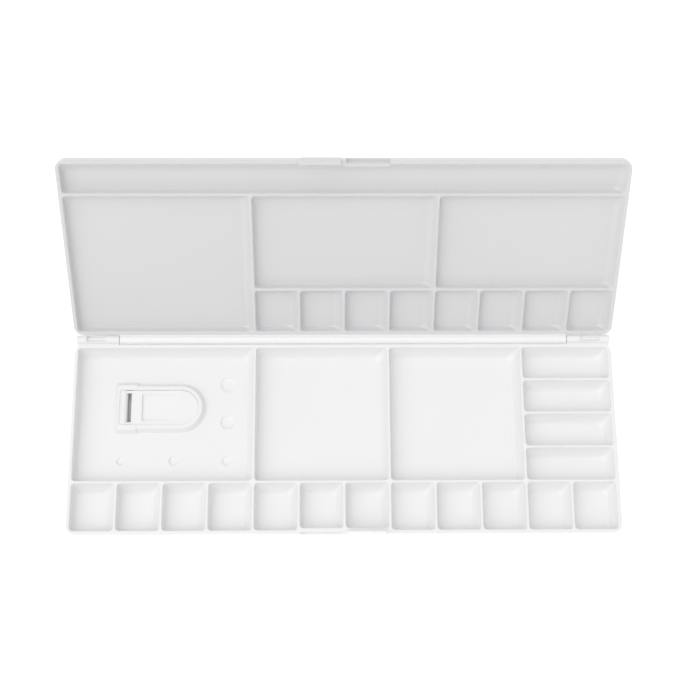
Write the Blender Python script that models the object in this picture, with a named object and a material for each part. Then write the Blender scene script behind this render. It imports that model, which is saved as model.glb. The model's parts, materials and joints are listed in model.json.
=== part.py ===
"""Folding paint-mixing palette: a base tray and a lid tray with wells, joined by a rear hinge
on two short pins, and a hinged flap that closes the thumb hole in the base.

The frame is the base tray's: origin in the middle of its underside, +X to the right,
+Y to the hinge, +Z up. The lid stands open at REST_OPENING.
"""

import math

import bmesh
import bpy
from mathutils import Matrix, Vector

MM = 0.001

# Trays
LENGTH = 290 * MM
DEPTH = 103 * MM
BASE_HEIGHT = 10 * MM
LID_HEIGHT = 6.4 * MM
WALL = 2.0 * MM
RIB = 1.4 * MM
BASE_FLOOR = 2.6 * MM
LID_FLOOR = 1.8 * MM
CORNER_RADIUS = 5.0 * MM
EDGE_RADIUS = 2.2 * MM
RIM_ROUND = 0.4 * MM
DRAFT = 0.5 * MM
PARTING_GAP = 0.3 * MM

# Wells: twelve equal columns, and rows measured across the tray from its front wall
COLUMNS = 12
BASE_FRONT_ROW = 24.9 * MM
SLANT_ROWS = 4
LID_SMALL_ROW = 25.5 * MM
BRUSH_TROUGH = 16.4 * MM
WELL_CORNER = 1.8 * MM
BASE_NARROW_FILLET = 1.3 * MM
LID_NARROW_FILLET = 1.1 * MM
WIDE_FILLET = 4.4 * MM
FILLET_HEIGHT = 4.0 * MM
WALL_DRAFT = 0.15 * MM

# Rear hinge
HINGE_SETBACK = 2.7 * MM
KNUCKLE_RADIUS = 2.35 * MM
PIN_RADIUS = 1.2 * MM
BORE_RADIUS = 1.5 * MM
EAR_INNER = 121.0 * MM
EAR_OUTER = 144.0 * MM
EAR_GAP = 0.3 * MM
WINDOW_FROM = 128.3 * MM
WINDOW_TO = 138.5 * MM
WINDOW_HALF_WIDTH = 1.65 * MM
PIN_REACH = 13.0 * MM
PIN_CHAMFER = 0.25 * MM
BARREL_CHAMFER = 0.3 * MM
REST_OPENING = 130.0

# Front latch: each tray has a tongue on one half and a recess on the other
LATCH_SPAN = 22.0 * MM
LATCH_MIDDLE_GAP = 0.9 * MM
TONGUE_CLEARANCE = 0.8 * MM
TONGUE_HEIGHT = 3.4 * MM
TONGUE_ROOT = 2.6 * MM
RECESS_HEIGHT = 4.0 * MM
BASE_TONGUE_FACES = (0.1 * MM, 1.3 * MM)
LID_RECESS_DEPTH = 1.7 * MM
LID_TONGUE_FACES = (-0.7 * MM, 0.9 * MM)
BASE_RECESS_DEPTH = 1.3 * MM
LATCH_BACKING = 1.1 * MM

# Thumb hole: collar, hinge block and flap
FLAP_AXIS_X = -118.1 * MM
THUMB_Y = 17.7 * MM
FLAP_AXIS_Z = 3.4 * MM
COLLAR_TOP = 5.6 * MM
COLLAR_END_X = -87.6 * MM
COLLAR_HALF_WIDTH = 13.0 * MM
COLLAR_CHAMFER = 0.6 * MM
BLOCK_HALF_WIDTH = 13.7 * MM
BLOCK_LEFT_X = -122.3 * MM
BLOCK_RIGHT_X = -109.4 * MM
HOLE_HALF_WIDTH = 9.6 * MM
HOLE_CORNER = 1.0 * MM
FLAP_CLEARANCE = 0.4 * MM
FLAP_THICKNESS = 1.6 * MM
FLAP_TOP = 5.0 * MM
SLOT_FROM_AXIS = 4.8 * MM
FLAP_CORNER = 1.0 * MM
FLAP_SOFT_EDGE = 0.25 * MM
FLAP_ARM_WIDTH = 1.5 * MM
FLAP_ARM_OVERLAP = 2.0 * MM
FLAP_KNUCKLE_RADIUS = 2.1 * MM
FLAP_PIN_RADIUS = 1.0 * MM
FLAP_BORE_RADIUS = 1.3 * MM
FLAP_PIN_HALF_LENGTH = 12.0 * MM
FINGER_PULL = (10.0 * MM, 30.6 * MM, 6.5 * MM)
FINGER_PULL_DEPTH = 0.7 * MM
FINGER_PULL_CORNER = 0.8 * MM
FINGER_PULL_MOUTH_CORNER = 1.2 * MM

# Brush rests: x, y from the tray's middle, and radius
BRUSH_RESTS = (
    (-62.6 * MM, 31.0 * MM, 4.4 * MM),
    (-62.6 * MM, 9.9 * MM, 4.1 * MM),
    (-62.6 * MM, -11.2 * MM, 2.8 * MM),
    (-90.8 * MM, -11.2 * MM, 2.8 * MM),
    (-119.0 * MM, -11.2 * MM, 2.3 * MM),
)
BRUSH_REST_DEPTH = 0.8 * MM

# How finely curves are divided
ARC_STEPS = 4
OUTER_CORNER_STEPS = 6
WELL_CORNER_STEPS = 3
FLAP_CORNER_STEPS = 2
HALF_CIRCLE_STEPS = 20
ROUND_SEGMENTS = 32
FLAP_ROD_SEGMENTS = 24
SHARP_ANGLE = 30.0

# Plastics: base colour and roughness
TRAY_PLASTIC = ((0.87, 0.87, 0.88), 0.38)
FLAP_PLASTIC = ((0.88, 0.88, 0.88), 0.42)
PIN_PLASTIC = ((0.90, 0.90, 0.88), 0.45)

HINGE_Y = DEPTH / 2 + HINGE_SETBACK
HINGE_Z = BASE_HEIGHT + PARTING_GAP / 2
COLUMN_PITCH = (LENGTH - 2 * WALL + RIB) / COLUMNS


# ---------------------------------------------------------------- tools

def clear_scene():
    for obj in list(bpy.data.objects):
        bpy.data.objects.remove(obj, do_unlink=True)


def plastic(name, colour, roughness):
    """A white moulded plastic."""
    material = bpy.data.materials.new(name)
    material.use_nodes = True
    shader = material.node_tree.nodes["Principled BSDF"]
    shader.inputs["Base Color"].default_value = (*colour, 1.0)
    shader.inputs["Roughness"].default_value = roughness
    shader.inputs["Metallic"].default_value = 0.0
    material.diffuse_color = (*colour, 1.0)
    return material


def add_object(name, mesh_data):
    mesh = bpy.data.meshes.new(name)
    mesh_data.to_mesh(mesh)
    mesh_data.free()
    obj = bpy.data.objects.new(name, mesh)
    bpy.context.scene.collection.objects.link(obj)
    return obj


def arc(centre, radius, start, end, steps):
    """Points on an arc, from the start angle to the end angle in degrees."""
    points = []
    for i in range(steps + 1):
        angle = math.radians(start + (end - start) * i / steps)
        points.append((centre[0] + radius * math.cos(angle), centre[1] + radius * math.sin(angle)))
    return points


def round_rectangle(x0, x1, y0, y1, radius, steps=ARC_STEPS):
    """A rectangle with round corners, anticlockwise."""
    return (arc((x1 - radius, y0 + radius), radius, -90, 0, steps)
            + arc((x1 - radius, y1 - radius), radius, 0, 90, steps)
            + arc((x0 + radius, y1 - radius), radius, 90, 180, steps)
            + arc((x0 + radius, y0 + radius), radius, 180, 270, steps))


def thumb_outline(x_left, half_width, corner, y=THUMB_Y):
    """A straight left end with small corners, and a half circle at the right."""
    x_end = COLLAR_END_X
    return (arc((x_end, y), half_width, -90, 90, HALF_CIRCLE_STEPS)
            + arc((x_left + corner, y + half_width - corner), corner, 90, 180, ARC_STEPS)
            + arc((x_left + corner, y - half_width + corner), corner, 180, 270, ARC_STEPS))


def loft(name, sections):
    """A closed solid through outlines of equal point count, given bottom to top with heights."""
    mesh_data = bmesh.new()
    rings = []
    for outline, z in sections:
        rings.append([mesh_data.verts.new((x, y, z)) for x, y in outline])
    count = len(rings[0])
    for lower, upper in zip(rings, rings[1:]):
        for i in range(count):
            j = (i + 1) % count
            mesh_data.faces.new((lower[i], lower[j], upper[j], upper[i]))
    mesh_data.faces.new(list(reversed(rings[0])))
    mesh_data.faces.new(rings[-1])
    return add_object(name, mesh_data)


def box(name, low, high):
    x0, y0, z0 = low
    x1, y1, z1 = high
    outline = [(x0, y0), (x1, y0), (x1, y1), (x0, y1)]
    return loft(name, [(outline, z0), (outline, z1)])


def rod(name, radius, start, end, end_round=0.0, segments=ROUND_SEGMENTS):
    """A cylinder between two points; end_round chamfers both rims."""
    start = Vector(start)
    end = Vector(end)
    length = (end - start).length
    outline = arc((0.0, 0.0), radius, 0, 360 * (1 - 1 / segments), segments - 1)
    sections = [(outline, 0.0), (outline, length)]
    if end_round:
        tip = arc((0.0, 0.0), radius - end_round, 0, 360 * (1 - 1 / segments), segments - 1)
        sections = [(tip, 0.0), (outline, end_round), (outline, length - end_round), (tip, length)]
    obj = loft(name, sections)
    turn = Vector((0, 0, 1)).rotation_difference(end - start).to_matrix().to_4x4()
    obj.data.transform(Matrix.Translation(start) @ turn)
    return obj


def combine(target, tool, operation):
    """Boolean one solid with another, and drop the tool."""
    modifier = target.modifiers.new(operation.title(), "BOOLEAN")
    modifier.operation = operation
    modifier.solver = "EXACT"
    modifier.object = tool
    bpy.context.view_layer.update()
    evaluated = target.evaluated_get(bpy.context.evaluated_depsgraph_get())
    result = bpy.data.meshes.new_from_object(evaluated)
    target.modifiers.clear()
    target.data = result
    bpy.data.objects.remove(tool, do_unlink=True)


def join(target, *tools):
    for tool in tools:
        combine(target, tool, "UNION")


def cut(target, *tools):
    for tool in tools:
        combine(target, tool, "DIFFERENCE")


# ---------------------------------------------------------------- trays

def columns(first, count):
    """Left and right edge of a well that spans some of the twelve columns."""
    left = -LENGTH / 2 + WALL + first * COLUMN_PITCH
    return left, left + count * COLUMN_PITCH - RIB


def tray_block(name, y_front, z_rim, height):
    """The solid outer form of a tray: drafted walls, a round lower edge and a soft rim."""
    x = LENGTH / 2
    y_rear = y_front + DEPTH

    def section(inset, z):
        outline = round_rectangle(-x + inset, x - inset, y_front + inset, y_rear - inset,
                                  CORNER_RADIUS - inset, OUTER_CORNER_STEPS)
        return outline, z

    sections = []
    for i in range(ARC_STEPS + 1):
        angle = math.radians(90 * i / ARC_STEPS)
        inset = DRAFT + EDGE_RADIUS * (1 - math.sin(angle))
        sections.append(section(inset, z_rim - height + EDGE_RADIUS * (1 - math.cos(angle))))
    sections.append(section(0.0, z_rim - RIM_ROUND))
    sections.append(section(RIM_ROUND, z_rim))
    return loft(name, sections)


def well_cutter(x_range, y_range, z_rim, z_floor, narrow_fillet):
    """A well: steep at the left and the front, a wide soft fillet at the right and the rear."""
    x0, x1 = x_range
    y0, y1 = y_range
    sections = []
    for i in range(ARC_STEPS + 1):
        angle = math.radians(90 * i / ARC_STEPS)
        spread = 1 - math.sin(angle)
        narrow = WALL_DRAFT + narrow_fillet * spread
        wide = WALL_DRAFT + WIDE_FILLET * spread
        outline = round_rectangle(x0 + narrow, x1 - wide, y0 + narrow, y1 - wide,
                                  WELL_CORNER + narrow_fillet * spread, WELL_CORNER_STEPS)
        sections.append((outline, z_floor + FILLET_HEIGHT * (1 - math.cos(angle))))
    mouth = round_rectangle(x0, x1, y0, y1, WELL_CORNER, WELL_CORNER_STEPS)
    sections.append((mouth, z_rim))
    sections.append((mouth, z_rim + WALL))
    return loft("well_cutter", sections)


def latch_box(name, side, y_face, faces, z_low, z_high, inward, margin=0.0):
    """A block over one half of the latch; side is -1 for the left half, 1 for the right."""
    near = side * (LATCH_MIDDLE_GAP + margin)
    far = side * (LATCH_MIDDLE_GAP + LATCH_SPAN - margin)
    ys = sorted(y_face + inward * face for face in faces)
    return box(name, (min(near, far), ys[0], z_low), (max(near, far), ys[1], z_high))


def add_latch(tray, y_face, inward, z_rim, z_floor, tongue_side, tongue_faces, recess_depth):
    """Thicken the wall behind the latch, sink the recess and raise the tongue."""
    backing = (WALL / 2, WALL + LATCH_BACKING)
    for side in (-1, 1):
        join(tray, latch_box("latch_backing", side, y_face, backing, z_floor - LID_FLOOR / 2,
                             z_rim - RIM_ROUND, inward, -LATCH_MIDDLE_GAP / 2))
    cut(tray, latch_box("latch_recess", -tongue_side, y_face, (-WALL, recess_depth),
                        z_rim - RECESS_HEIGHT, z_rim + WALL, inward))
    join(tray, latch_box("latch_tongue", tongue_side, y_face, tongue_faces, z_rim - TONGUE_ROOT,
                         z_rim + TONGUE_HEIGHT, inward, TONGUE_CLEARANCE))


def base_wells():
    """Twelve front wells, a thumb well, two mixing wells and four slant wells."""
    y_front = -DEPTH / 2
    front_row = (y_front + WALL, y_front + WALL + BASE_FRONT_ROW)
    back_row = (front_row[1] + RIB, DEPTH / 2 - WALL)
    wells = [(columns(i, 1), front_row) for i in range(COLUMNS)]
    wells += [(columns(0, 4), back_row), (columns(4, 3), back_row), (columns(7, 3), back_row)]
    slant_pitch = (back_row[1] - back_row[0] + RIB) / SLANT_ROWS
    for i in range(SLANT_ROWS):
        y0 = back_row[0] + i * slant_pitch
        wells.append((columns(10, 2), (y0, y0 + slant_pitch - RIB)))
    return wells


def lid_wells():
    """Eight small wells by the hinge, three mixing wells, and a brush trough along the far edge."""
    y_front = HINGE_SETBACK
    small_row = (y_front + WALL, y_front + WALL + LID_SMALL_ROW)
    trough = (y_front + DEPTH - WALL - BRUSH_TROUGH, y_front + DEPTH - WALL)
    upper_row = (small_row[1] + RIB, trough[0] - RIB)
    wells = [(columns(i, 1), small_row) for i in range(4, COLUMNS)]
    wells += [(columns(0, 4), (small_row[0], upper_row[1]))]
    wells += [(columns(4, 4), upper_row), (columns(8, 4), upper_row)]
    wells += [(columns(0, COLUMNS), trough)]
    return wells


def hinge_ear(side):
    """One of the base's two hinge knuckles: a round ear on a web from the rear wall."""
    inner = side * EAR_INNER
    outer = side * EAR_OUTER
    knuckle = rod("ear", KNUCKLE_RADIUS, (inner, HINGE_Y, HINGE_Z), (outer, HINGE_Y, HINGE_Z))
    web = box("web", (min(inner, outer), DEPTH / 2 - WALL / 2, HINGE_Z - KNUCKLE_RADIUS),
              (max(inner, outer), HINGE_Y, HINGE_Z - PARTING_GAP / 2))
    join(knuckle, web)
    return knuckle


def ear_window(side):
    """The shut-off window through an ear, where the pin shows."""
    xs = sorted((side * WINDOW_FROM, side * WINDOW_TO))
    return box("window", (xs[0], HINGE_Y - WINDOW_HALF_WIDTH, HINGE_Z - 2 * KNUCKLE_RADIUS),
               (xs[1], HINGE_Y + WINDOW_HALF_WIDTH, HINGE_Z + 2 * KNUCKLE_RADIUS))


def hinge_bore(side, y, z):
    """The pin's bore through an ear and into the barrel's end."""
    return rod("bore", BORE_RADIUS, (side * (EAR_INNER - PIN_REACH - EAR_GAP), y, z),
               (side * (EAR_OUTER + WALL), y, z))


def make_base_tray(material):
    tray = tray_block("base_tray", -DEPTH / 2, BASE_HEIGHT, BASE_HEIGHT)
    for x_range, y_range in base_wells():
        cut(tray, well_cutter(x_range, y_range, BASE_HEIGHT, BASE_FLOOR, BASE_NARROW_FILLET))
    add_latch(tray, -DEPTH / 2, 1, BASE_HEIGHT, BASE_FLOOR, 1, BASE_TONGUE_FACES, BASE_RECESS_DEPTH)
    for side in (-1, 1):
        join(tray, hinge_ear(side))
        cut(tray, hinge_bore(side, HINGE_Y, HINGE_Z), ear_window(side))
    add_thumb_hole(tray)
    for x, y, radius in BRUSH_RESTS:
        cut(tray, rod("brush_rest", radius, (x, y, BASE_FLOOR - BRUSH_REST_DEPTH),
                      (x, y, BASE_FLOOR + WALL)))
    tray.data.materials.clear()
    tray.data.materials.append(material)
    return tray


def make_lid_tray(material):
    """The lid, modelled laid flat behind the base with its origin on the hinge axis."""
    z_rim = -PARTING_GAP / 2
    z_floor = z_rim - LID_HEIGHT + LID_FLOOR
    tray = tray_block("lid_tray", HINGE_SETBACK, z_rim, LID_HEIGHT)
    for x_range, y_range in lid_wells():
        cut(tray, well_cutter(x_range, y_range, z_rim, z_floor, LID_NARROW_FILLET))
    y_far = HINGE_SETBACK + DEPTH
    add_latch(tray, y_far, -1, z_rim, z_floor, -1, LID_TONGUE_FACES, LID_RECESS_DEPTH)
    half = EAR_INNER - EAR_GAP
    barrel = rod("barrel", KNUCKLE_RADIUS, (-half, 0, 0), (half, 0, 0), BARREL_CHAMFER)
    web = box("web", (-half + KNUCKLE_RADIUS, 0, -KNUCKLE_RADIUS),
              (half - KNUCKLE_RADIUS, HINGE_SETBACK + WALL / 2, z_rim))
    join(barrel, web)
    join(tray, barrel)
    for side in (-1, 1):
        cut(tray, hinge_bore(side, 0, 0))
    tray.data.materials.clear()
    tray.data.materials.append(material)
    tray.location = (0, HINGE_Y, HINGE_Z)
    tray.rotation_euler.x = math.radians(180 - REST_OPENING)
    return tray


# ---------------------------------------------------------------- hinge pins

def make_hinge_pin(name, side, material):
    """A plain pin pressed into an ear; the lid's barrel turns on its inner end."""
    start = side * (EAR_INNER - PIN_REACH)
    end = side * (EAR_OUTER - EAR_GAP)
    pin = rod(name, PIN_RADIUS, (start, 0, 0), (end, 0, 0), PIN_CHAMFER)
    pin.location = (0, HINGE_Y, HINGE_Z)
    pin.data.materials.append(material)
    return pin


# ---------------------------------------------------------------- thumb hole and flap

def add_thumb_hole(tray):
    """Raise the collar and its hinge block from the thumb well's floor, and cut the hole."""
    chamfer = COLLAR_CHAMFER
    sunk = BASE_FLOOR / 2
    collar = loft("collar", [
        (thumb_outline(BLOCK_LEFT_X, COLLAR_HALF_WIDTH, WELL_CORNER), sunk),
        (thumb_outline(BLOCK_LEFT_X, COLLAR_HALF_WIDTH, WELL_CORNER), COLLAR_TOP - chamfer),
        (thumb_outline(BLOCK_LEFT_X + chamfer, COLLAR_HALF_WIDTH - chamfer, WELL_CORNER), COLLAR_TOP),
    ])

    def block_section(inset, z):
        outline = round_rectangle(BLOCK_LEFT_X - RIM_ROUND + inset, BLOCK_RIGHT_X - inset,
                                  THUMB_Y - BLOCK_HALF_WIDTH + inset,
                                  THUMB_Y + BLOCK_HALF_WIDTH - inset, WELL_CORNER)
        return outline, z

    block = loft("hinge_block", [block_section(0.0, sunk), block_section(0.0, COLLAR_TOP - RIM_ROUND),
                                 block_section(chamfer, COLLAR_TOP + RIM_ROUND / 2)])
    join(tray, collar, block)
    hole = thumb_outline(FLAP_AXIS_X - FLAP_KNUCKLE_RADIUS - FLAP_CLEARANCE, HOLE_HALF_WIDTH,
                         HOLE_CORNER)
    cut(tray, loft("thumb_hole", [(hole, -WALL), (hole, COLLAR_TOP + WALL)]))
    reach = FLAP_PIN_HALF_LENGTH + EAR_GAP
    cut(tray, rod("flap_bore", FLAP_BORE_RADIUS, (FLAP_AXIS_X, THUMB_Y - reach, FLAP_AXIS_Z),
                  (FLAP_AXIS_X, THUMB_Y + reach, FLAP_AXIS_Z), 0.0, FLAP_ROD_SEGMENTS))


def make_thumb_flap(material):
    """The flap that closes the thumb hole, with two arms and knuckles on its pin."""
    half = HOLE_HALF_WIDTH - FLAP_CLEARANCE
    z_high = FLAP_TOP - FLAP_AXIS_Z
    z_low = z_high - FLAP_THICKNESS
    end_x = COLLAR_END_X - FLAP_AXIS_X

    def outline(inset):
        x_left = SLOT_FROM_AXIS + inset
        radius = half - inset
        corner = FLAP_CORNER
        return (arc((end_x, 0), radius, -90, 90, HALF_CIRCLE_STEPS)
                + arc((x_left + corner, radius - corner), corner, 90, 180, FLAP_CORNER_STEPS)
                + arc((x_left + corner, corner - radius), corner, 180, 270, FLAP_CORNER_STEPS))

    soft = FLAP_SOFT_EDGE
    flap = loft("thumb_flap", [(outline(soft), z_low), (outline(0.0), z_low + soft),
                               (outline(0.0), z_high - soft), (outline(soft), z_high)])
    barrel = rod("flap_barrel", FLAP_KNUCKLE_RADIUS, (0, -half, 0), (0, half, 0), soft,
                 FLAP_ROD_SEGMENTS)
    for side in (-1, 1):
        ys = sorted((side * (half - soft), side * (half - FLAP_ARM_WIDTH)))
        join(barrel, box("arm", (0, ys[0], z_low + soft / 2),
                         (SLOT_FROM_AXIS + FLAP_ARM_OVERLAP, ys[1], z_high - soft / 2)))
    join(flap, barrel)
    cut(flap, rod("bore", FLAP_BORE_RADIUS, (0, -2 * half, 0), (0, 2 * half, 0), 0.0,
                  FLAP_ROD_SEGMENTS))
    x0, x1, pull_half = FINGER_PULL
    floor_outline = round_rectangle(x0, x1, -pull_half, pull_half, FINGER_PULL_CORNER)
    slope = FINGER_PULL_DEPTH
    mouth = round_rectangle(x0 - slope, x1 + slope, -pull_half - slope, pull_half + slope,
                            FINGER_PULL_MOUTH_CORNER)
    cut(flap, loft("finger_pull", [(floor_outline, z_high - FINGER_PULL_DEPTH), (mouth, z_high),
                                   (mouth, z_high + WALL)]))
    flap.data.materials.clear()
    flap.data.materials.append(material)
    flap.location = (FLAP_AXIS_X, THUMB_Y, FLAP_AXIS_Z)
    return flap


def make_flap_pin(material):
    pin = rod("thumb_flap_pin", FLAP_PIN_RADIUS, (0, -FLAP_PIN_HALF_LENGTH, 0),
              (0, FLAP_PIN_HALF_LENGTH, 0), PIN_CHAMFER, FLAP_ROD_SEGMENTS)
    pin.location = (FLAP_AXIS_X, THUMB_Y, FLAP_AXIS_Z)
    pin.data.materials.append(material)
    return pin


def main():
    clear_scene()
    tray_plastic = plastic("white_plastic", *TRAY_PLASTIC)
    flap_plastic = plastic("flap_plastic", *FLAP_PLASTIC)
    pin_plastic = plastic("pin_plastic", *PIN_PLASTIC)
    pieces = [
        make_base_tray(tray_plastic),
        make_lid_tray(tray_plastic),
        make_hinge_pin("hinge_pin_left", -1, pin_plastic),
        make_hinge_pin("hinge_pin_right", 1, pin_plastic),
        make_thumb_flap(flap_plastic),
        make_flap_pin(pin_plastic),
    ]
    for piece in pieces:
        piece.data.shade_smooth()
        piece.data.set_sharp_from_angle(angle=math.radians(SHARP_ANGLE))


main()
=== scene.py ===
"""The looks of a folding paint-mixing palette of glossy white plastic, built around its CAD frame.

A base tray and a lid tray with wells, a pinned rear hinge, and a pinned flap over the thumb hole.
Sizes in metres. Each tray is modelled with its rim up; the lid is then turned to where it stands.
"""
import json
import math

import bmesh
import bpy
from mathutils import Matrix, Vector


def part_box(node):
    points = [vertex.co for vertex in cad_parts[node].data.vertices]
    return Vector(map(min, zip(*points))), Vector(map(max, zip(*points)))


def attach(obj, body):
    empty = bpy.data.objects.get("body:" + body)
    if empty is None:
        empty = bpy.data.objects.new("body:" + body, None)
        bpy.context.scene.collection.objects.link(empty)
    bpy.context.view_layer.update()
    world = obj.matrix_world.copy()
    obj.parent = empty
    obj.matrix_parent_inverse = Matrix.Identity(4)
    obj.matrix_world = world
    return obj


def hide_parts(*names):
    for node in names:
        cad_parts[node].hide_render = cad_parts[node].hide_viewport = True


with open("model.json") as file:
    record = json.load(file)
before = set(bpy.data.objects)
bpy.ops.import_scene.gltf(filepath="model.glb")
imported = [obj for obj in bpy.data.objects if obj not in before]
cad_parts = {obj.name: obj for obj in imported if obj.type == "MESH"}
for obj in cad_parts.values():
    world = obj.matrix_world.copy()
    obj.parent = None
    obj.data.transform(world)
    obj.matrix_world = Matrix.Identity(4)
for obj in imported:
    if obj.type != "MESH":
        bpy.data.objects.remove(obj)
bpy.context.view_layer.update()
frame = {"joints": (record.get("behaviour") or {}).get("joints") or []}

MM = 0.001

# ---------------------------------------------------------------- design
# Trays
BASE_HEIGHT = 10.0 * MM
LID_HEIGHT = 6.4 * MM
WALL = 2.0 * MM
RIB = 1.4 * MM
BASE_FLOOR = 2.6 * MM
LID_FLOOR = 1.8 * MM
CORNER_RADIUS = 5.0 * MM
EDGE_RADIUS = 2.2 * MM
RIM_ROUND = 0.4 * MM
DRAFT = 0.5 * MM
PARTING_GAP = 0.3 * MM
HINGE_SETBACK = 2.7 * MM
REST_OPENING = 130.0

# Wells; where a pair names one, it is the first column and the number of columns
COLUMNS = 12
BASE_FRONT_ROW = 24.9 * MM
SIDE_ROWS = 4
LID_SMALL_ROW = 25.5 * MM
BRUSH_TROUGH = 16.4 * MM
BASE_LARGE_WELLS = ((0, 4), (4, 3), (7, 3))
SIDE_WELLS = (10, 2)
LID_SMALL_FROM = 4
LID_LARGE_WELL = (0, 4)
LID_MIXING_WELLS = ((4, 4), (8, 4))
WELL_CORNER = 1.8 * MM
WALL_DRAFT = 0.15 * MM
MOUTH_ROUND = 0.42 * MM

# Widths of the fillets at a well's left, right, front and rear, and their height
BASE_FILLETS = (1.5 * MM, 4.4 * MM, 1.2 * MM, 4.4 * MM, 6.0 * MM)
LID_FILLETS = (1.0 * MM, 4.6 * MM, 0.8 * MM, 4.6 * MM, 4.1 * MM)
TROUGH_FILLETS = (1.0 * MM, 4.6 * MM, 0.8 * MM, 6.0 * MM, 4.1 * MM)

# Rear hinge
KNUCKLE_RADIUS = 2.35 * MM
KNUCKLE_SOFTEN = 0.35 * MM
# Painted highlight on the lid's hinge barrel: how far from the axis it reaches, and its fade.
BARREL_HIGHLIGHT_RADIUS = 2.6 * MM
BARREL_HIGHLIGHT_FADE = 0.5 * MM
PIN_RADIUS = 1.2 * MM
BORE_RADIUS = 1.22 * MM
EAR_INNER = 121.0 * MM
EAR_OUTER = 144.0 * MM
EAR_GAP = 0.3 * MM
WINDOW_FROM = 128.3 * MM
WINDOW_TO = 138.5 * MM
WINDOW_HALF_WIDTH = 1.50 * MM
WINDOW_BED = 0.65 * MM
WINDOW_CORNER = 0.5 * MM
WEB_CORNER = 0.2 * MM
PIN_REACH = 13.0 * MM
HINGE_PIN_TIP = 0.4 * MM

# Front latch
LATCH_SPAN = 22.0 * MM
LATCH_MIDDLE_GAP = 0.9 * MM
LATCH_BACKING = 1.1 * MM
BACKING_CORNER = 0.8 * MM
BACKING_BELOW_RIM = 0.02 * MM
TONGUE_CLEARANCE = 0.8 * MM
TONGUE_HEIGHT = 3.4 * MM
TONGUE_ROOT = 2.6 * MM
TONGUE_SOFTEN = 0.45 * MM
TONGUE_CORNER = TONGUE_SOFTEN + 0.05 * MM
SQUARE_EDGE = 0.01 * MM
RECESS_HEIGHT = 4.0 * MM
BASE_TONGUE_FACES = (0.1 * MM, 1.3 * MM)
BASE_RECESS_DEPTH = 1.3 * MM
LID_TONGUE_FACES = (-0.7 * MM, 0.9 * MM)
LID_RECESS_DEPTH = 1.7 * MM

# Thumb hole and flap
COLLAR_TOP = 5.6 * MM
COLLAR_REACH = 30.5 * MM
COLLAR_HALF_WIDTH = 13.0 * MM
COLLAR_DRAFT = 1.0 * MM
COLLAR_SOFTEN = 0.9 * MM
FOOT_FILLET = 0.9 * MM
FOOT_SUNK = 0.05 * MM
BLOCK_HALF_WIDTH = 13.7 * MM
BLOCK_LEFT = 4.6 * MM
BLOCK_RIGHT = 8.7 * MM
BLOCK_TOP = 5.8 * MM
HOLE_HALF_WIDTH = 9.6 * MM
HOLE_LEFT = 2.2 * MM
HOLE_CORNER = 1.0 * MM
HOLE_SOFTEN = 0.12 * MM
SADDLE_EDGE = 0.75 * MM
SADDLE_TOP = 5.25 * MM
SADDLE_GAP = 0.05 * MM
FLAP_CLEARANCE = 0.08 * MM
FLAP_TOP = 5.0 * MM
FLAP_THICKNESS = 1.6 * MM
FLAP_SOFTEN = 0.14 * MM
FLAP_CORNER = 1.0 * MM
FLAP_BARREL_RADIUS = 2.1 * MM
FLAP_BORE_RADIUS = 1.3 * MM
FLAP_PIN_RADIUS = 1.0 * MM
FLAP_PIN_HALF_LENGTH = 12.0 * MM
FLAP_PIN_TIP = 0.3 * MM
SLOT_FROM_AXIS = 4.1 * MM
FLAP_ARM_WIDTH = 1.5 * MM
FLAP_ARM_INSET = 0.1 * MM
FLAP_ARM_OVERLAP = 2 * MM
FLAP_ARM_CORNER = 0.3 * MM
FLAP_ARM_MARGIN = 0.08 * MM
FLAP_ARM_SOFTEN = 0.2 * MM
PULL_START = 9.9 * MM
PULL_END = 31.0 * MM
PULL_HALF_WIDTH = 6.6 * MM
PULL_DEPTH = 1.1 * MM
PULL_FLOOR_CORNER = 0.6 * MM
PULL_MOUTH_CORNER = 1.0 * MM
PULL_STEEP_EDGE = 0.15 * MM
PULL_RISE = 0.75

# Brush rests in the thumb well's floor: x, y and radius
BRUSH_RESTS = (
    (-62.6 * MM, 31.0 * MM, 4.4 * MM),
    (-62.6 * MM, 9.9 * MM, 4.1 * MM),
    (-62.6 * MM, -11.2 * MM, 2.8 * MM),
    (-90.8 * MM, -11.2 * MM, 2.8 * MM),
    (-119.0 * MM, -11.2 * MM, 2.3 * MM),
)
BRUSH_REST_DEPTH = 0.8 * MM

# A brush rest's bowl, in shares of its radius and depth
REST_FLAT_RADIUS = 0.35
REST_BOWL_WIDTH = 0.55
REST_BOWL_HEIGHT = 0.85
REST_LIP_RADIUS = 0.94
REST_LIP_HEIGHT = 0.95

# A pin's lead-in taper: distance from its start and inset, in widths of its rounded tip
PIN_TAPER = ((0.0, 1.4), (0.15, 1.15), (1.6, 0.25), (2.6, 0.0))

# Fineness of the mesh
CORNER_STEPS = 6
TRAY_CORNER_STEPS = 14
FILLET_STEPS = 8
EDGE_STEPS = 4
SMALL_STEPS = 2
HALF_CIRCLE_STEPS = 4 * CORNER_STEPS
ROUND_SEGMENTS = 48
SHARP_ANGLE = 34.0

# Plastics: light and darker pigment tones, roughness and orange peel, and the paler colour of a barrel;
# the lid's tones are painted shade, darker than the same plastic on the base, and its barrel colour is a
# painted highlight
TRAY_PLASTIC = ((0.845, 0.845, 0.850), (0.830, 0.830, 0.837), 0.30, 0.25)
# The lid's pigment is painted shade: the same white plastic as the base, coloured darker for its tilted
# face; its last colour is a painted highlight on the hinge barrel.
LID_PLASTIC_PAINTED_SHADE_AND_HIGHLIGHT = ((0.690, 0.690, 0.697), (0.678, 0.678, 0.686), 0.30, 0.25, (0.88, 0.88, 0.882))
FLAP_PLASTIC = ((0.850, 0.850, 0.852), (0.835, 0.835, 0.838), 0.33, 0.25)
PIN_PLASTIC = ((0.860, 0.860, 0.856), (0.840, 0.840, 0.835), 0.42, 0.35)
PLASTIC_IOR = 1.49

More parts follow.
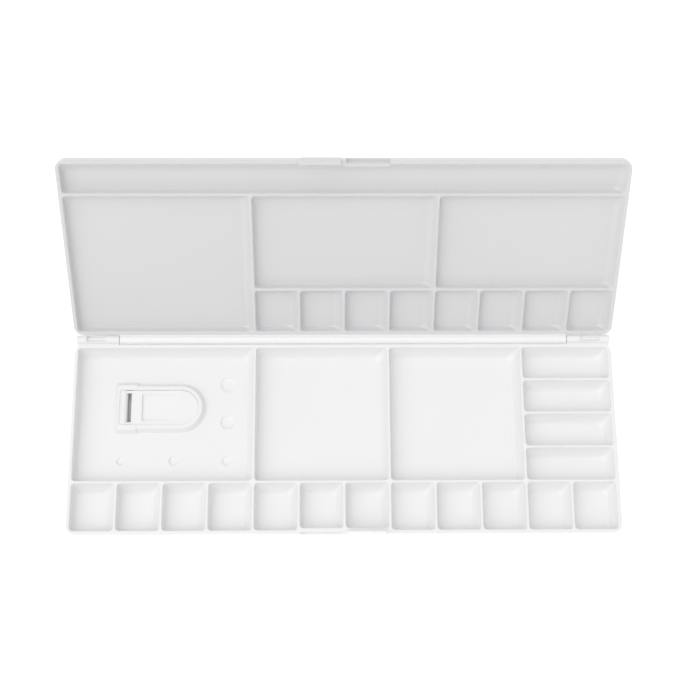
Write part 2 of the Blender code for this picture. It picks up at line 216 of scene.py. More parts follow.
# Noise in the plastics: scale and detail of each, and how far it reaches
NOISE_RANGE = (0.3, 0.7)
CLOUD_NOISE = (14.0, 3.0)
CLOUD_SHARE = 0.7
PIGMENT_NOISE = (900.0, 2.0)
PIGMENT_SHARE = 0.3
WIPED_NOISE = (40.0, 4.0)
WIPED_STRETCH = (1.0, 9.0, 9.0)
WIPED_ROUGHNESS = 0.008
PATCH_NOISE = (26.0, 2.0)
PATCH_ROUGHNESS = 0.015
PEEL_NOISE = (320.0, 2.0)
PEEL_HEIGHT = 0.02 * MM

# Camera and light
CAMERA_TARGET = (3.455 * MM, 48.8 * MM, 8.0 * MM)
CAMERA_DISTANCE = 736.0 * MM
CAMERA_ELEVATION = 73.0
CAMERA_YAW = 3.24
CAMERA_ROLL = 2.99
CAMERA_LENS = 69.8
SENSOR_WIDTH = 36.0
KEY_DIRECTION = (-0.50, -0.35, 1.00)
KEY_SPREAD = 70.0
KEY_STRENGTH = 0.98
SKY_ZENITH = 0.86
SKY_HORIZON = 0.68
WHITE = (1.0, 1.0, 1.0, 1.0)
FLOOR_GLOW = 0.25
FLOOR_HALF_SIZE = 3.0
FLOOR_CELLS = 4
FLOOR_BELOW_TRAY = 0.02 * MM
FLOOR_COLOUR = (0.94, 0.94, 0.94, 1.0)
FLOOR_ROUGHNESS = 0.9
FLOOR_SPECULAR = 0.1

# Places worked out from the frame
axes = {joint["name"]: Vector(joint["pos_m"]) for joint in frame["joints"]}
LID_AXIS = axes["lid_hinge"]
FLAP_AXIS = axes["flap_hinge"]
HALF_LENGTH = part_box("base_tray")[1].x
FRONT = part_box("base_tray")[0].y
DEPTH = -2 * FRONT
COLUMN_PITCH = (2 * HALF_LENGTH - 2 * WALL + RIB) / COLUMNS


# ---------------------------------------------------------------- mesh tools

def quarter(steps):
    """Angles from nothing to a quarter turn."""
    return [math.pi / 2 * i / steps for i in range(steps + 1)]


def arc(x, y, radius, start, end, steps):
    """Points on an arc, from the start angle to the end angle in degrees."""
    points = []
    for i in range(steps + 1):
        angle = math.radians(start + (end - start) * i / steps)
        points.append((x + radius * math.cos(angle), y + radius * math.sin(angle)))
    return points


def rectangle(x0, x1, y0, y1, radius, rear_right=None, steps=CORNER_STEPS):
    """A rectangle with round corners, anticlockwise; the rear right corner can have its own radius."""
    wide = rear_right or radius
    return (arc(x1 - radius, y0 + radius, radius, -90, 0, steps)
            + arc(x1 - wide, y1 - wide, wide, 0, 90, steps)
            + arc(x0 + radius, y1 - radius, radius, 90, 180, steps)
            + arc(x0 + radius, y0 + radius, radius, 180, 270, steps))


def skin(shape, rings):
    """Add a closed shell through rings of points, each anticlockwise as seen from the last."""
    loops = [[shape.verts.new(point) for point in ring] for ring in rings]
    for lower, upper in zip(loops, loops[1:]):
        for i, start in enumerate(lower):
            j = (i + 1) % len(lower)
            shape.faces.new((start, lower[j], upper[j], upper[i]))
    shape.faces.new(loops[0][::-1])
    shape.faces.new(loops[-1])


def loft(shape, sections):
    """Add a closed shell through level outlines, given bottom to top with their heights."""
    skin(shape, [[(x, y, z) for x, y in outline] for outline, z in sections])


def turned(shape, start, direction, profile, segments=ROUND_SEGMENTS):
    """Add a round closed shell; the profile gives distances along the axis and radii."""
    axis = Vector(direction).normalized()
    side = axis.orthogonal().normalized()
    up = axis.cross(side)
    rings = []
    for distance, radius in profile:
        centre = Vector(start) + axis * distance
        rings.append([centre + radius * (side * math.cos(a) + up * math.sin(a))
                      for a in (2 * math.pi * i / segments for i in range(segments))])
    skin(shape, rings)


def rod(shape, start, end, radius, soften=0.0, segments=ROUND_SEGMENTS):
    """Add a rod between two points, its rims rounded."""
    direction = Vector(end) - Vector(start)
    length = direction.length
    if not soften:
        profile = [(0.0, radius), (length, radius)]
    else:
        rim = [(soften * (1 - math.sin(a)), radius - soften * (1 - math.cos(a)))
               for a in quarter(EDGE_STEPS)]
        profile = ([(d, r) for d, r in reversed(rim)]
                   + [(length - d, r) for d, r in rim])
    turned(shape, start, direction, profile, segments)


def upright(outline, low, high, soften_low, soften_high, steps=EDGE_STEPS):
    """Sections of an upright block with rounded rims; outline(inset) gives its plan."""
    sections = []
    for a in quarter(steps):
        sections.append((outline(soften_low * (1 - math.sin(a))), low + soften_low * (1 - math.cos(a))))
    for a in quarter(steps):
        sections.append((outline(soften_high * (1 - math.cos(a))), high - soften_high * (1 - math.sin(a))))
    return sections


def solid(name, shape):
    """An object from the shells gathered in a bmesh."""
    mesh = bpy.data.meshes.new(name)
    shape.to_mesh(mesh)
    shape.free()
    obj = bpy.data.objects.new(name, mesh)
    bpy.context.scene.collection.objects.link(obj)
    return obj


def boolean(target, shape, operation):
    """Apply the shells gathered in a bmesh to a solid."""
    tool = solid("tool", shape)
    modifier = target.modifiers.new(operation, "BOOLEAN")
    modifier.operation = operation
    modifier.solver = "EXACT"
    modifier.object = tool
    graph = bpy.context.evaluated_depsgraph_get()
    result = bpy.data.meshes.new_from_object(target.evaluated_get(graph))
    target.modifiers.clear()
    target.data = result
    bpy.data.objects.remove(tool, do_unlink=True)


def finish_piece(obj, material, body, slot, *nodes):
    """Shade a piece, give it its material and hang it on its CAD body."""
    obj.data.materials.clear()
    obj.data.materials.append(material)
    obj.data.shade_smooth()
    obj.data.set_sharp_from_angle(angle=math.radians(SHARP_ANGLE))
    weighted = obj.modifiers.new("even_shading", "WEIGHTED_NORMAL")
    weighted.keep_sharp = True
    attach(obj, body)
    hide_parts(*nodes)


# ---------------------------------------------------------------- trays

def tray_shell(name, y_front, z_rim, height):
    """The outer form of a tray: drafted walls, a round lower edge and a soft rim."""
    def outline(inset):
        return rectangle(-HALF_LENGTH + inset, HALF_LENGTH - inset, y_front + inset,
                         y_front + DEPTH - inset, CORNER_RADIUS - inset, steps=TRAY_CORNER_STEPS)

    sections = []
    for a in quarter(2 * EDGE_STEPS):
        sections.append((outline(DRAFT + EDGE_RADIUS * (1 - math.sin(a))),
                         z_rim - height + EDGE_RADIUS * (1 - math.cos(a))))
    for a in quarter(EDGE_STEPS):
        sections.append((outline(RIM_ROUND * (1 - math.cos(a))),
                         z_rim - RIM_ROUND * (1 - math.sin(a))))
    shape = bmesh.new()
    loft(shape, sections)
    return solid(name, shape)


def columns(first, count):
    """Left and right edge of a well that spans some of the twelve columns."""
    left = -HALF_LENGTH + WALL + first * COLUMN_PITCH
    return left, left + count * COLUMN_PITCH - RIB


def well(shape, x_range, y_range, z_rim, z_floor, fillets):
    """Add a well's space: steep at the left and front, soft at the right and rear, a round mouth."""
    x0, x1 = x_range
    y0, y1 = y_range
    left, right, front, rear, height = fillets
    sections = []
    for a in quarter(FILLET_STEPS):
        spread = 1 - math.sin(a)
        slope = (spread + math.cos(a)) / 2
        outline = rectangle(x0 + WALL_DRAFT + left * spread, x1 - WALL_DRAFT - right * slope,
                            y0 + WALL_DRAFT + front * spread, y1 - WALL_DRAFT - rear * slope,
                            WELL_CORNER + front * spread, WELL_CORNER + right * slope / 2)
        sections.append((outline, z_floor + height * (1 - math.cos(a))))
    for a in quarter(EDGE_STEPS):
        flare = MOUTH_ROUND * (1 - math.cos(a))
        outline = rectangle(x0 - flare, x1 + flare, y0 - flare, y1 + flare, WELL_CORNER + flare)
        sections.append((outline, z_rim - MOUTH_ROUND * (1 - math.sin(a))))
    sections.append((sections[-1][0], z_rim + WALL))
    loft(shape, sections)


def latch_block(shape, side, y_face, faces, z_low, z_high, inward, margin, soften):
    """Add a block over one half of the latch; side is -1 for the left half, 1 for the right."""
    xs = sorted((side * (LATCH_MIDDLE_GAP + margin), side * (LATCH_MIDDLE_GAP + LATCH_SPAN - margin)))
    ys = sorted(y_face + inward * face for face in faces)

    def outline(inset):
        return rectangle(xs[0] + inset, xs[1] - inset, ys[0] + inset, ys[1] - inset,
                         TONGUE_CORNER - inset, steps=EDGE_STEPS)

    loft(shape, upright(outline, z_low, z_high, SQUARE_EDGE, soften))


def add_latch(tray, y_face, inward, z_rim, tongue_side, tongue_faces, recess_depth):
    """Sink the recess on one half of the latch and raise the tongue on the other."""
    recess = bmesh.new()
    latch_block(recess, -tongue_side, y_face, (-WALL, recess_depth), z_rim - RECESS_HEIGHT,
                z_rim + WALL, inward, 0.0, SQUARE_EDGE)
    boolean(tray, recess, "DIFFERENCE")
    tongue = bmesh.new()
    latch_block(tongue, tongue_side, y_face, tongue_faces, z_rim - TONGUE_ROOT,
                z_rim + TONGUE_HEIGHT, inward, TONGUE_CLEARANCE, TONGUE_SOFTEN)
    boolean(tray, tongue, "UNION")


def base_wells():
    """The space of the base's twelve front wells, thumb well, two mixing wells and four side wells."""
    z_rim = BASE_HEIGHT
    front_row = (FRONT + WALL, FRONT + WALL + BASE_FRONT_ROW)
    back_row = (front_row[1] + RIB, FRONT + DEPTH - WALL)
    behind_latch = (front_row[0] + LATCH_BACKING, front_row[1])
    shape = bmesh.new()
    for i in range(COLUMNS):
        row = behind_latch if i in (COLUMNS // 2 - 1, COLUMNS // 2) else front_row
        well(shape, columns(i, 1), row, z_rim, BASE_FLOOR, BASE_FILLETS)
    for first, count in BASE_LARGE_WELLS:
        well(shape, columns(first, count), back_row, z_rim, BASE_FLOOR, BASE_FILLETS)
    pitch = (back_row[1] - back_row[0] + RIB) / SIDE_ROWS
    for i in range(SIDE_ROWS):
        y0 = back_row[0] + i * pitch
        well(shape, columns(*SIDE_WELLS), (y0, y0 + pitch - RIB), z_rim, BASE_FLOOR, BASE_FILLETS)
    return shape


def lid_wells(z_rim, z_floor):
    """The space of the lid's small wells by the hinge, three mixing wells and brush trough."""
    y_front = HINGE_SETBACK
    small_row = (y_front + WALL, y_front + WALL + LID_SMALL_ROW)
    trough = (y_front + DEPTH - WALL - BRUSH_TROUGH, y_front + DEPTH - WALL)
    upper_row = (small_row[1] + RIB, trough[0] - RIB)
    shape = bmesh.new()
    for i in range(LID_SMALL_FROM, COLUMNS):
        well(shape, columns(i, 1), small_row, z_rim, z_floor, LID_FILLETS)
    well(shape, columns(*LID_LARGE_WELL), (small_row[0], upper_row[1]), z_rim, z_floor, LID_FILLETS)
    for first, count in LID_MIXING_WELLS:
        well(shape, columns(first, count), upper_row, z_rim, z_floor, LID_FILLETS)
    well(shape, columns(0, COLUMNS), trough, z_rim, z_floor, TROUGH_FILLETS)
    return shape


# ---------------------------------------------------------------- base

def add_hinge_ears(tray):
    """The two knuckles at the ends of the rear wall, each with a web, a bore and a window."""
    y = LID_AXIS.y
    z = LID_AXIS.z
    ears = bmesh.new()
    webs = bmesh.new()
    bores = bmesh.new()
    windows = bmesh.new()
    for side in (-1, 1):
        xs = sorted((side * EAR_INNER, side * EAR_OUTER))
        rod(ears, (xs[0], y, z), (xs[1], y, z), KNUCKLE_RADIUS, KNUCKLE_SOFTEN)
        web = rectangle(xs[0] + KNUCKLE_SOFTEN, xs[1] - KNUCKLE_SOFTEN, FRONT + DEPTH - WALL / 2,
                        y, WEB_CORNER, steps=SMALL_STEPS)
        loft(webs, [(web, z - KNUCKLE_RADIUS), (web, z - PARTING_GAP / 2)])
        rod(bores, (side * (EAR_INNER - PIN_REACH - EAR_GAP), y, z),
            (side * (EAR_OUTER + WALL), y, z), BORE_RADIUS)
        span = sorted((side * WINDOW_FROM, side * WINDOW_TO))
        opening = rectangle(span[0], span[1], y - WINDOW_HALF_WIDTH, y + WINDOW_HALF_WIDTH,
                            WINDOW_CORNER, steps=EDGE_STEPS)
        loft(windows, [(opening, z + WINDOW_BED), (opening, z + 2 * KNUCKLE_RADIUS)])
    boolean(tray, ears, "UNION")
    boolean(tray, webs, "UNION")
    boolean(tray, bores, "DIFFERENCE")
    boolean(tray, windows, "DIFFERENCE")


def thumb_outline(left, half_width, corner):
    """A straight left end with small corners and a half circle at the right, round the flap's axis."""
    x = FLAP_AXIS.x
    y = FLAP_AXIS.y
    return (arc(x + COLLAR_REACH, y, half_width, -90, 90, HALF_CIRCLE_STEPS)
            + arc(x - left + corner, y + half_width - corner, corner, 90, 180, CORNER_STEPS)
            + arc(x - left + corner, y - half_width + corner, corner, 180, 270, CORNER_STEPS))


def raised(outline, top, soften):
    """Sections of a form that stands up from the floor: a foot fillet, a drafted side, a round top."""
    sections = [(outline(-FOOT_FILLET), BASE_FLOOR / 2),
                (outline(-FOOT_FILLET), BASE_FLOOR - FOOT_SUNK)]
    for a in quarter(EDGE_STEPS)[1:]:
        sections.append((outline(-FOOT_FILLET * (1 - math.sin(a))),
                         BASE_FLOOR + FOOT_FILLET * (1 - math.cos(a))))
    for a in quarter(EDGE_STEPS):
        sections.append((outline(COLLAR_DRAFT + soften * (1 - math.cos(a))),
                         top - soften * (1 - math.sin(a))))
    return sections


def add_thumb_hole(tray):
    """Raise the collar and hinge block, cut the hole and bore, and bed the flap's barrel in a saddle."""
    def collar(inset):
        return thumb_outline(BLOCK_LEFT - inset, COLLAR_HALF_WIDTH - inset, WELL_CORNER - inset / 2)

    def block(inset):
        return rectangle(FLAP_AXIS.x - BLOCK_LEFT + inset, FLAP_AXIS.x + BLOCK_RIGHT - inset,
                         FLAP_AXIS.y - BLOCK_HALF_WIDTH + inset, FLAP_AXIS.y + BLOCK_HALF_WIDTH - inset,
                         WELL_CORNER - inset / 2)

    for form, top in ((collar, COLLAR_TOP), (block, BLOCK_TOP)):
        shape = bmesh.new()
        loft(shape, raised(form, top, COLLAR_SOFTEN))
        boolean(tray, shape, "UNION")

    def hole(inset):
        return thumb_outline(HOLE_LEFT - inset, HOLE_HALF_WIDTH - inset, HOLE_CORNER - inset)

    sections = [(hole(-HOLE_SOFTEN), -WALL)]
    for a in reversed(quarter(EDGE_STEPS)):
        sections.append((hole(-HOLE_SOFTEN * (1 - math.cos(a))), HOLE_SOFTEN * (1 - math.sin(a))))
    for a in quarter(EDGE_STEPS):
        sections.append((hole(-HOLE_SOFTEN * (1 - math.cos(a))),
                         COLLAR_TOP - HOLE_SOFTEN * (1 - math.sin(a))))
    sections.append((hole(-HOLE_SOFTEN), COLLAR_TOP + WALL))
    shape = bmesh.new()
    loft(shape, sections)
    boolean(tray, shape, "DIFFERENCE")
    shape = bmesh.new()
    reach = Vector((0, FLAP_PIN_HALF_LENGTH + EAR_GAP, 0))
    rod(shape, FLAP_AXIS - reach, FLAP_AXIS + reach, FLAP_BORE_RADIUS)
    boolean(tray, shape, "DIFFERENCE")
    saddle = bmesh.new()
    plan = rectangle(FLAP_AXIS.x - HOLE_LEFT - HOLE_SOFTEN, FLAP_AXIS.x - SADDLE_EDGE,
                     FLAP_AXIS.y - HOLE_HALF_WIDTH - HOLE_SOFTEN,
                     FLAP_AXIS.y + HOLE_HALF_WIDTH + HOLE_SOFTEN, HOLE_SOFTEN, steps=SMALL_STEPS)
    loft(saddle, [(plan, FLAP_AXIS.z), (plan, SADDLE_TOP)])
    boolean(tray, saddle, "UNION")
    shape = bmesh.new()
    reach = Vector((0, HOLE_HALF_WIDTH, 0))
    rod(shape, FLAP_AXIS - reach, FLAP_AXIS + reach, FLAP_BARREL_RADIUS + SADDLE_GAP)
    boolean(tray, shape, "DIFFERENCE")


def add_brush_rests(tray):
    """Sink the shallow round dimples into the thumb well's floor."""
    shape = bmesh.new()
    for x, y, radius in BRUSH_RESTS:
        profile = []
        for a in quarter(FILLET_STEPS):
            bowl = radius * (REST_FLAT_RADIUS + REST_BOWL_WIDTH * math.sin(a))
            profile.append((BRUSH_REST_DEPTH * (1 - math.cos(a)) * REST_BOWL_HEIGHT, bowl))
        profile.append((BRUSH_REST_DEPTH * REST_LIP_HEIGHT, radius * REST_LIP_RADIUS))
        profile.append((BRUSH_REST_DEPTH, radius))
        profile.append((BRUSH_REST_DEPTH + WALL, radius))
        turned(shape, (x, y, BASE_FLOOR - BRUSH_REST_DEPTH), (0, 0, 1), profile)
    boolean(tray, shape, "DIFFERENCE")


def make_base_tray():
    tray = tray_shell("base_tray_moulding", FRONT, BASE_HEIGHT, BASE_HEIGHT)
    boolean(tray, base_wells(), "DIFFERENCE")
    add_latch(tray, FRONT, 1, BASE_HEIGHT, 1, BASE_TONGUE_FACES, BASE_RECESS_DEPTH)
    add_hinge_ears(tray)
    add_thumb_hole(tray)
    add_brush_rests(tray)
    return tray


# ---------------------------------------------------------------- lid

def make_lid_tray():
    """The lid, modelled flat behind the hinge axis and then turned up to its rest opening."""
    z_rim = -PARTING_GAP / 2
    z_floor = z_rim - LID_HEIGHT + LID_FLOOR
    y_far = HINGE_SETBACK + DEPTH
    tray = tray_shell("lid_tray_moulding", HINGE_SETBACK, z_rim, LID_HEIGHT)
    boolean(tray, lid_wells(z_rim, z_floor), "DIFFERENCE")
    backing = bmesh.new()
    half = LATCH_MIDDLE_GAP + LATCH_SPAN
    plan = rectangle(-half, half, y_far - WALL - LATCH_BACKING, y_far - WALL / 2,
                     BACKING_CORNER)
    loft(backing, [(plan, z_floor - LID_FLOOR / 2), (plan, z_rim - BACKING_BELOW_RIM)])
    boolean(tray, backing, "UNION")
    add_latch(tray, y_far, -1, z_rim, -1, LID_TONGUE_FACES, LID_RECESS_DEPTH)
    half = EAR_INNER - EAR_GAP
    barrel = bmesh.new()
    rod(barrel, (-half, 0, 0), (half, 0, 0), KNUCKLE_RADIUS, KNUCKLE_SOFTEN)
    boolean(tray, barrel, "UNION")
    web = bmesh.new()
    plan = rectangle(-half + KNUCKLE_SOFTEN, half - KNUCKLE_SOFTEN, 0, HINGE_SETBACK + WALL / 2,
                     WEB_CORNER, steps=SMALL_STEPS)
    loft(web, [(plan, -KNUCKLE_RADIUS), (plan, z_rim)])
    boolean(tray, web, "UNION")
    bores = bmesh.new()
    for side in (-1, 1):
        rod(bores, (side * (half - PIN_REACH), 0, 0), (side * (half + WALL), 0, 0), BORE_RADIUS)
    boolean(tray, bores, "DIFFERENCE")
    turn = Matrix.Rotation(math.radians(180 - REST_OPENING), 4, "X")
    tray.data.transform(Matrix.Translation((0, LID_AXIS.y, LID_AXIS.z)) @ turn)
    return tray


# ---------------------------------------------------------------- flap and pins

def make_flap():
    """The flap over the thumb hole, with its barrel on two arms and a sloping finger pull."""
    half = HOLE_HALF_WIDTH - FLAP_CLEARANCE
    x = FLAP_AXIS.x
    y = FLAP_AXIS.y

    def outline(inset):
        corner = FLAP_CORNER
        left = x + SLOT_FROM_AXIS + inset
        side = half - inset
        return (arc(x + COLLAR_REACH, y, side, -90, 90, HALF_CIRCLE_STEPS)
                + arc(left + corner, y + side - corner, corner, 90, 180, CORNER_STEPS)
                + arc(left + corner, y - side + corner, corner, 180, 270, CORNER_STEPS))

    shape = bmesh.new()
    loft(shape, upright(outline, FLAP_TOP - FLAP_THICKNESS, FLAP_TOP, FLAP_SOFTEN, FLAP_SOFTEN))
    flap = solid("thumb_flap_moulding", shape)
    for side in (-1, 1):
        ys = sorted((y + side * (half - FLAP_ARM_INSET), y + side * (half - FLAP_ARM_WIDTH)))

        def arm(inset):
            return rectangle(x + inset, x + SLOT_FROM_AXIS + FLAP_ARM_OVERLAP - inset, ys[0] + inset,
                             ys[1] - inset, FLAP_ARM_CORNER, steps=SMALL_STEPS)

        shape = bmesh.new()
        loft(shape, upright(arm, FLAP_TOP - FLAP_THICKNESS + FLAP_ARM_MARGIN, FLAP_TOP - FLAP_ARM_MARGIN,
                            FLAP_ARM_SOFTEN, FLAP_ARM_SOFTEN, SMALL_STEPS))
        boolean(flap, shape, "UNION")
    reach = Vector((0, half, 0))
    shape = bmesh.new()
    rod(shape, FLAP_AXIS - reach, FLAP_AXIS + reach, FLAP_BARREL_RADIUS, FLAP_SOFTEN)
    boolean(flap, shape, "UNION")
    shape = bmesh.new()
    rod(shape, FLAP_AXIS - 2 * reach, FLAP_AXIS + 2 * reach, FLAP_BORE_RADIUS)
    boolean(flap, shape, "DIFFERENCE")
    shape = bmesh.new()
    finger_pull(shape)
    boolean(flap, shape, "DIFFERENCE")
    return flap


def finger_pull(shape):
    """Add the finger pull's space: deepest by the hinge, its floor rising to the flap's top."""
    x0 = FLAP_AXIS.x + PULL_START
    x1 = FLAP_AXIS.x + PULL_END
    y = FLAP_AXIS.y
    slope = PULL_DEPTH
    floor = rectangle(x0, x1 - slope, y - PULL_HALF_WIDTH, y + PULL_HALF_WIDTH,
                      PULL_FLOOR_CORNER)
    mouth = rectangle(x0 - PULL_STEEP_EDGE, x1, y - PULL_HALF_WIDTH - slope,
                      y + PULL_HALF_WIDTH + slope, PULL_MOUTH_CORNER)
    level = FLAP_TOP - PULL_DEPTH
    rise = PULL_RISE * PULL_DEPTH / (x1 - x0)
    skin(shape, [[(px, py, level + rise * (px - x0)) for px, py in floor],
                 [(px, py, FLAP_TOP) for px, py in mouth],
                 [(px, py, FLAP_TOP + WALL) for px, py in mouth]])


def pin(name, start, end, radius, tip):
    """A pressed-in pin: a long lead-in taper at its start and a domed end."""
    length = (Vector(end) - Vector(start)).length
    profile = [(along * tip, radius - inset * tip) for along, inset in PIN_TAPER]
    for a in quarter(EDGE_STEPS):
        profile.append((length - tip * (1 - math.sin(a)), radius - tip * (1 - math.cos(a))))
    shape = bmesh.new()
    turned(shape, start, Vector(end) - Vector(start), profile)
    return solid(name, shape)


# ---------------------------------------------------------------- materials

def noise(tree, place, scale, detail, stretch=None):
    """A noise texture in the piece's own metres; stretch lengthens its grain along X, Y and Z."""
    texture = tree.nodes.new("ShaderNodeTexNoise")
    texture.inputs["Scale"].default_value = scale
    texture.inputs["Detail"].default_value = detail
    if stretch:
        mapping = tree.nodes.new("ShaderNodeMapping")
        mapping.inputs["Scale"].default_value = stretch
        tree.links.new(place.outputs["Object"], mapping.inputs["Vector"])
        tree.links.new(mapping.outputs["Vector"], texture.inputs["Vector"])
    else:
        tree.links.new(place.outputs["Object"], texture.inputs["Vector"])
    return texture.outputs["Fac"]


def map_noise(tree, value, low, high):
    """Map a noise value onto a range."""
    node = tree.nodes.new("ShaderNodeMapRange")
    node.inputs["From Min"].default_value = NOISE_RANGE[0]
    node.inputs["From Max"].default_value = NOISE_RANGE[1]
    node.inputs["To Min"].default_value = low
    node.inputs["To Max"].default_value = high
    tree.links.new(value, node.inputs["Value"])
    return node.outputs["Result"]


def paint_barrel_highlight(tree, place, colour, highlight_colour):
    """Paint a highlight: blend a colour to a paler one on the barrel that runs along the lid's hinge axis.
    """
    split = tree.nodes.new("ShaderNodeSeparateXYZ")
    across = tree.nodes.new("ShaderNodeCombineXYZ")
    reach = tree.nodes.new("ShaderNodeVectorMath")
    reach.operation = "DISTANCE"
    reach.inputs[1].default_value = (0.0, LID_AXIS.y, LID_AXIS.z)
    edge = tree.nodes.new("ShaderNodeMapRange")
    edge.inputs["From Min"].default_value = BARREL_HIGHLIGHT_RADIUS
    edge.inputs["From Max"].default_value = BARREL_HIGHLIGHT_RADIUS + BARREL_HIGHLIGHT_FADE
    tint = tree.nodes.new("ShaderNodeMix")
    tint.data_type = "RGBA"
    tint.inputs["A"].default_value = (*highlight_colour, 1.0)
    tree.links.new(place.outputs["Object"], split.inputs["Vector"])
    tree.links.new(split.outputs["Y"], across.inputs["Y"])
    tree.links.new(split.outputs["Z"], across.inputs["Z"])
    tree.links.new(across.outputs["Vector"], reach.inputs[0])
    tree.links.new(reach.outputs["Value"], edge.inputs["Value"])
    tree.links.new(edge.outputs["Result"], tint.inputs["Factor"])
    tree.links.new(colour, tint.inputs["B"])
    return tint.outputs["Result"]


def moulded_plastic(name, light, shade, roughness, peel, barrel=None):
    """Injection-moulded white plastic: cloudy pigment, faint wiping marks and a slight orange peel; a
    barrel colour adds a painted highlight on the lid's hinge barrel.
    """
    material = bpy.data.materials.new(name)
    material.use_nodes = True
    tree = material.node_tree
    shader = tree.nodes["Principled BSDF"]
    shader.inputs["IOR"].default_value = PLASTIC_IOR
    place = tree.nodes.new("ShaderNodeTexCoord")

    cloud = noise(tree, place, *CLOUD_NOISE)
    pigment = noise(tree, place, *PIGMENT_NOISE)
    blend = tree.nodes.new("ShaderNodeMath")
    blend.operation = "ADD"
    tree.links.new(map_noise(tree, cloud, 0.0, CLOUD_SHARE), blend.inputs[0])
    tree.links.new(map_noise(tree, pigment, 0.0, PIGMENT_SHARE), blend.inputs[1])
    tint = tree.nodes.new("ShaderNodeMix")
    tint.data_type = "RGBA"
    tint.inputs["A"].default_value = (*light, 1.0)
    tint.inputs["B"].default_value = (*shade, 1.0)
    tree.links.new(blend.outputs["Value"], tint.inputs["Factor"])
    colour = tint.outputs["Result"]
    # Painted highlight: the lid's hinge barrel is coloured paler than the rest of the lid.
    if barrel:
        colour = paint_barrel_highlight(tree, place, colour, barrel)
    tree.links.new(colour, shader.inputs["Base Color"])

    wiped = noise(tree, place, *WIPED_NOISE, WIPED_STRETCH)
    patches = noise(tree, place, *PATCH_NOISE)
    gloss = tree.nodes.new("ShaderNodeMath")
    gloss.operation = "ADD"
    streaks = map_noise(tree, wiped, roughness - WIPED_ROUGHNESS, roughness + WIPED_ROUGHNESS)
    tree.links.new(streaks, gloss.inputs[0])
    tree.links.new(map_noise(tree, patches, -PATCH_ROUGHNESS, PATCH_ROUGHNESS), gloss.inputs[1])
    tree.links.new(gloss.outputs["Value"], shader.inputs["Roughness"])

    ripple = noise(tree, place, *PEEL_NOISE)
    bump = tree.nodes.new("ShaderNodeBump")
    bump.inputs["Strength"].default_value = peel
    bump.inputs["Distance"].default_value = PEEL_HEIGHT
    tree.links.new(ripple, bump.inputs["Height"])
    tree.links.new(bump.outputs["Normal"], shader.inputs["Normal"])
    return material


# ---------------------------------------------------------------- stage

def glow_beyond_base(tree, strength):
    """Let the paper glow faintly, but not where the palette stands on it."""
    place = tree.nodes.new("ShaderNodeTexCoord")
    split = tree.nodes.new("ShaderNodeSeparateXYZ")
    tree.links.new(place.outputs["Object"], split.inputs["Vector"])
    outside = []
    for axis, reach in (("X", HALF_LENGTH), ("Y", DEPTH / 2)):
        distance = tree.nodes.new("ShaderNodeMath")
        distance.operation = "ABSOLUTE"
        beyond = tree.nodes.new("ShaderNodeMath")
        beyond.operation = "GREATER_THAN"
        beyond.inputs[1].default_value = reach - CORNER_RADIUS
        tree.links.new(split.outputs[axis], distance.inputs[0])
        tree.links.new(distance.outputs["Value"], beyond.inputs[0])
        outside.append(beyond.outputs["Value"])
    either = tree.nodes.new("ShaderNodeMath")
    either.operation = "MAXIMUM"
    glow = tree.nodes.new("ShaderNodeMath")
    glow.operation = "MULTIPLY"
    glow.inputs[1].default_value = FLOOR_GLOW
    tree.links.new(outside[0], either.inputs[0])
    tree.links.new(outside[1], either.inputs[1])
    tree.links.new(either.outputs["Value"], glow.inputs[0])
    tree.links.new(glow.outputs["Value"], strength)


def make_floor():
    """A plain near-white table top."""
    shape = bmesh.new()
    bmesh.ops.create_grid(shape, x_segments=FLOOR_CELLS, y_segments=FLOOR_CELLS, size=FLOOR_HALF_SIZE)
    floor = solid("floor", shape)
    floor.location.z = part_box("base_tray")[0].z - FLOOR_BELOW_TRAY
    material = bpy.data.materials.new("floor_paper")
    material.use_nodes = True
    shader = material.node_tree.nodes["Principled BSDF"]
    shader.inputs["Base Color"].default_value = FLOOR_COLOUR
    shader.inputs["Roughness"].default_value = FLOOR_ROUGHNESS
    shader.inputs["Specular IOR Level"].default_value = FLOOR_SPECULAR
    shader.inputs["Emission Color"].default_value = WHITE
    glow_beyond_base(material.node_tree, shader.inputs["Emission Strength"])
    floor.data.materials.append(material)


def make_sky():
    """An even white surround that is dimmer towards the horizon."""
    world = bpy.data.worlds.new("studio")
    world.use_nodes = True
    bpy.context.scene.world = world
    tree = world.node_tree
    background = tree.nodes["Background"]
    place = tree.nodes.new("ShaderNodeTexCoord")
    split = tree.nodes.new("ShaderNodeSeparateXYZ")
    fade = tree.nodes.new("ShaderNodeMapRange")
    fade.inputs["From Min"].default_value = 0.0
    fade.inputs["From Max"].default_value = 1.0
    fade.inputs["To Min"].default_value = SKY_HORIZON
    fade.inputs["To Max"].default_value = SKY_ZENITH
    tree.links.new(place.outputs["Generated"], split.inputs["Vector"])
    tree.links.new(split.outputs["Z"], fade.inputs["Value"])
    background.inputs["Color"].default_value = WHITE
    tree.links.new(fade.outputs["Result"], background.inputs["Strength"])


def make_key_light():
    """A broad, far soft light from the left and a little in front."""
    light = bpy.data.lights.new("key", "SUN")
    light.angle = math.radians(KEY_SPREAD)
    light.energy = KEY_STRENGTH
    lamp = bpy.data.objects.new("key", light)
    bpy.context.scene.collection.objects.link(lamp)
    direction = Vector(KEY_DIRECTION)
    lamp.location = direction
    lamp.rotation_euler = direction.to_track_quat("Z", "Y").to_euler()


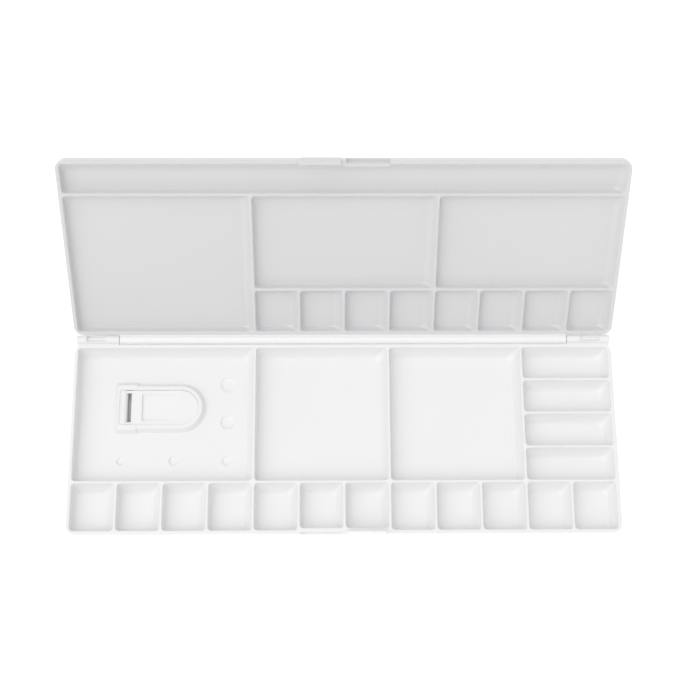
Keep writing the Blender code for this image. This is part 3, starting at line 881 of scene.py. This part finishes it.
def make_camera():
    camera = bpy.data.cameras.new("camera")
    camera.sensor_width = SENSOR_WIDTH
    camera.lens = CAMERA_LENS
    camera.dof.use_dof = False
    obj = bpy.data.objects.new("camera", camera)
    bpy.context.scene.collection.objects.link(obj)
    elevation = math.radians(CAMERA_ELEVATION)
    yaw = math.radians(CAMERA_YAW)
    roll = math.radians(CAMERA_ROLL)
    forward = Vector((math.sin(yaw) * math.cos(elevation), math.cos(yaw) * math.cos(elevation),
                      -math.sin(elevation)))
    level = Vector((math.cos(yaw), -math.sin(yaw), 0.0))
    upward = level.cross(forward)
    right = level * math.cos(roll) + upward * math.sin(roll)
    up = upward * math.cos(roll) - level * math.sin(roll)
    turn = Matrix((right, up, -forward)).transposed().to_4x4()
    obj.matrix_world = Matrix.Translation(Vector(CAMERA_TARGET) - forward * CAMERA_DISTANCE) @ turn
    bpy.context.scene.camera = obj


# ---------------------------------------------------------------- the palette

make_camera()
make_sky()
make_key_light()
make_floor()
bpy.context.scene.view_settings.view_transform = "Standard"

tray_plastic = moulded_plastic("tray_plastic", *TRAY_PLASTIC)
# The lid's darker plastic is painted shade, with a painted highlight on its hinge barrel.
lid_plastic_painted_shade_and_highlight = moulded_plastic("lid_plastic_painted_shade_and_highlight", *LID_PLASTIC_PAINTED_SHADE_AND_HIGHLIGHT)
flap_plastic = moulded_plastic("flap_plastic", *FLAP_PLASTIC)
pin_plastic = moulded_plastic("pin_plastic", *PIN_PLASTIC)

finish_piece(make_base_tray(), tray_plastic, "base", "tray", "base_tray")
finish_piece(make_lid_tray(), lid_plastic_painted_shade_and_highlight, "lid", "tray", "lid_tray")
finish_piece(make_flap(), flap_plastic, "flap", "flap", "thumb_flap")
for side, node in ((-1, "hinge_pin_left"), (1, "hinge_pin_right")):
    hinge_pin = pin(node + "_turned", LID_AXIS + Vector((side * (EAR_INNER - PIN_REACH), 0, 0)),
                    LID_AXIS + Vector((side * (EAR_OUTER - EAR_GAP), 0, 0)), PIN_RADIUS,
                    HINGE_PIN_TIP)
    finish_piece(hinge_pin, pin_plastic, "base", "pin", node)
flap_reach = Vector((0, FLAP_PIN_HALF_LENGTH, 0))
flap_pin = pin("thumb_flap_pin_turned", FLAP_AXIS - flap_reach, FLAP_AXIS + flap_reach,
               FLAP_PIN_RADIUS, FLAP_PIN_TIP)
finish_piece(flap_pin, pin_plastic, "base", "pin", "thumb_flap_pin")
